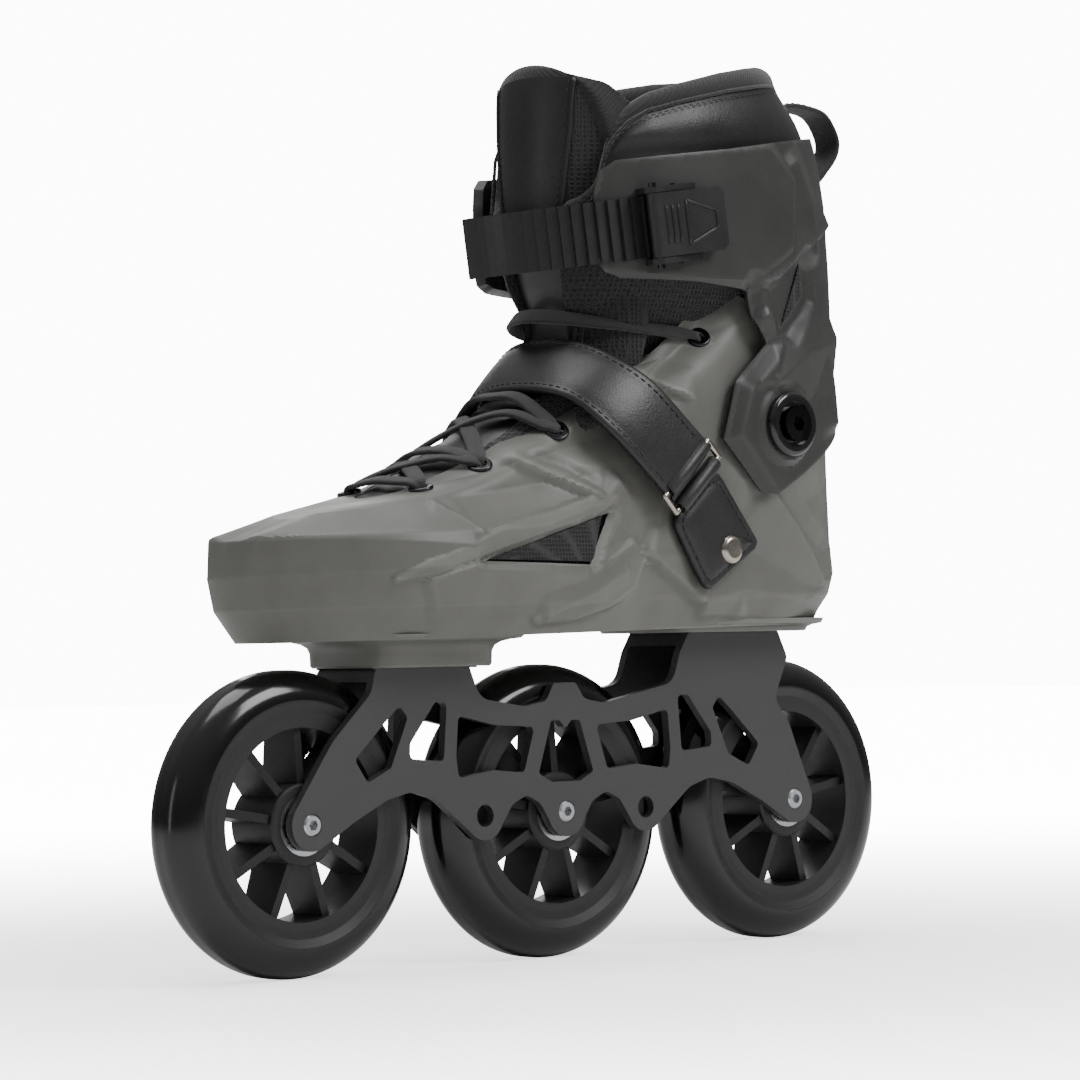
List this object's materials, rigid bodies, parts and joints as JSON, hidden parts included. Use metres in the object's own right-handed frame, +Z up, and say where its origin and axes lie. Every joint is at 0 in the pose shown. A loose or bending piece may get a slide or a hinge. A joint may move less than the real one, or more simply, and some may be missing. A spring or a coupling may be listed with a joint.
{
  "type": "inline skate",
  "caption": "Left inline skate: faceted hard boot with hinged cuff, laces, buckles and padded liner, on an open aluminium frame with large wheels in line",
  "frame": {"origin": "on the ground, under the middle axle, on the centre plane of the wheels", "axes": "+X to the toe, +Y to the outer (buckle) side, +Z up"},
  "size_m": [0.353, 0.1099, 0.341],
  "materials": {
    "frame_black": "black anodised, satin",
    "axle_steel": "turned and zinc plated",
    "zinc_steel": "zinc plated",
    "wheel_urethane": "cast urethane, glossy tread and matt side walls",
    "core_plastic": "glass-filled nylon",
    "bearing_steel": "ground and polished",
    "shield_brass": "gold tinted shield",
    "spacer_aluminium": "turned",
    "shell_plastic": "moulded, satin grain",
    "cuff_plastic": "moulded, satin grain",
    "screen_plastic": "perforated",
    "gunmetal": "gloss black nickel",
    "cap_gloss": "polished",
    "lace_fabric": "braided polyester",
    "strap_leather": "synthetic leather, fine grain",
    "nickel": "warm nickel plate",
    "liner_padding": "air mesh and synthetic leather over foam",
    "insole_foam": "felt-covered foam",
    "webbing": "woven webbing",
    "buckle_plastic": "moulded",
    "ladder_plastic": "moulded, semi-gloss",
    "spring_steel": "spring wire",
    "fastener_black": "black oxide"
  },
  "bodies": {
    "boot": {"axle_front": "axle_steel", "axle_middle": "axle_steel", "axle_rear": "axle_steel", "axle_washers": "zinc_steel", "bearing_inner_races_front": "bearing_steel", "bearing_inner_races_middle": "bearing_steel", "bearing_inner_races_rear": "bearing_steel", "bearing_spacer_front": "spacer_aluminium", "bearing_spacer_middle": "spacer_aluminium", "bearing_spacer_rear": "spacer_aluminium", "eyelets": "gunmetal", "frame": "frame_black", "insole": "insole_foam", "instep_strap": "strap_leather", "laces": "lace_fabric", "liner_foot": "liner_padding", "mounting_bolts": "zinc_steel", "mounting_nuts": "zinc_steel", "mounting_washers": "zinc_steel", "pivot_bolts": "gunmetal", "pivot_caps": "cap_gloss", "pivot_nuts": "zinc_steel", "shell": "shell_plastic", "strap_rivets": "nickel", "strap_tab": "strap_leather", "tongue_lower": "liner_padding", "vent_meshes": "screen_plastic"},
    "front_wheel": {"tyre_front": "wheel_urethane", "core_front": "core_plastic", "bearing_outer_races_front": "bearing_steel", "bearing_shields_front": "shield_brass"},
    "front_balls": {"bearing_balls_front": "bearing_steel"},
    "middle_wheel": {"tyre_middle": "wheel_urethane", "core_middle": "core_plastic", "bearing_outer_races_middle": "bearing_steel", "bearing_shields_middle": "shield_brass"},
    "middle_balls": {"bearing_balls_middle": "bearing_steel"},
    "rear_wheel": {"tyre_rear": "wheel_urethane", "core_rear": "core_plastic", "bearing_outer_races_rear": "bearing_steel", "bearing_shields_rear": "shield_brass"},
    "rear_balls": {"bearing_balls_rear": "bearing_steel"},
    "ankle_cuff": {"cuff": "cuff_plastic", "cuff_vent_meshes": "screen_plastic", "buckle_base": "buckle_plastic", "buckle_pins": "gunmetal", "buckle_rivets": "fastener_black", "ladder_strap": "ladder_plastic", "ladder_screw": "fastener_black", "liner_collar": "liner_padding", "tongue_upper": "liner_padding", "pull_loop": "webbing", "pawl_springs": "spring_steel"},
    "lever": {"buckle_lever": "buckle_plastic"},
    "pawl": {"lock_pawl": "buckle_plastic"},
    "ring": {"strap_ring": "nickel"}
  },
  "joints": [
    {"name": "front_wheel_spin", "type": "hinge", "parent": "boot", "child": "front_wheel", "pos_m": [0.1215, 0, 0.055], "axis": [0, 1, 0], "continuous": true},
    {"name": "front_balls_roll", "type": "hinge", "parent": "boot", "child": "front_balls", "pos_m": [0.1215, 0, 0.055], "axis": [0, 1, 0], "continuous": true},
    {"name": "middle_wheel_spin", "type": "hinge", "parent": "boot", "child": "middle_wheel", "pos_m": [0, 0, 0.055], "axis": [0, 1, 0], "continuous": true},
    {"name": "middle_balls_roll", "type": "hinge", "parent": "boot", "child": "middle_balls", "pos_m": [0, 0, 0.055], "axis": [0, 1, 0], "continuous": true},
    {"name": "rear_wheel_spin", "type": "hinge", "parent": "boot", "child": "rear_wheel", "pos_m": [-0.1215, 0, 0.055], "axis": [0, 1, 0], "continuous": true},
    {"name": "rear_balls_roll", "type": "hinge", "parent": "boot", "child": "rear_balls", "pos_m": [-0.1215, 0, 0.055], "axis": [0, 1, 0], "continuous": true},
    {"name": "cuff_flex", "type": "hinge", "parent": "boot", "child": "ankle_cuff", "pos_m": [-0.09, 0, 0.2], "axis": [0, 1, 0], "range_deg": [-3, 10]},
    {"name": "lever_open", "type": "hinge", "parent": "ankle_cuff", "child": "lever", "pos_m": [-0.02038, 0.04965, 0.27224], "axis": [-0.1392, 0, -0.9903], "range_deg": [0, 60]},
    {"name": "pawl_lift", "type": "hinge", "parent": "ankle_cuff", "child": "pawl", "pos_m": [-0.02981, 0.05073, 0.27357], "axis": [-0.1392, 0, -0.9903], "range_deg": [0, 12]},
    {"name": "ring_swing", "type": "hinge", "parent": "boot", "child": "ring", "pos_m": [-0.03975, 0.0486, 0.1762], "axis": [0.7278, 0, -0.6858], "range_deg": [-4, 4]}
  ],
  "couplings": [
    {"joint": "front_balls_roll", "follows": "front_wheel_spin", "ratio": 0.6323},
    {"joint": "middle_balls_roll", "follows": "middle_wheel_spin", "ratio": 0.6323},
    {"joint": "rear_balls_roll", "follows": "rear_wheel_spin", "ratio": 0.6323},
    {"joint": "pawl_lift", "follows": "lever_open", "ratio": 0.2}
  ]
}
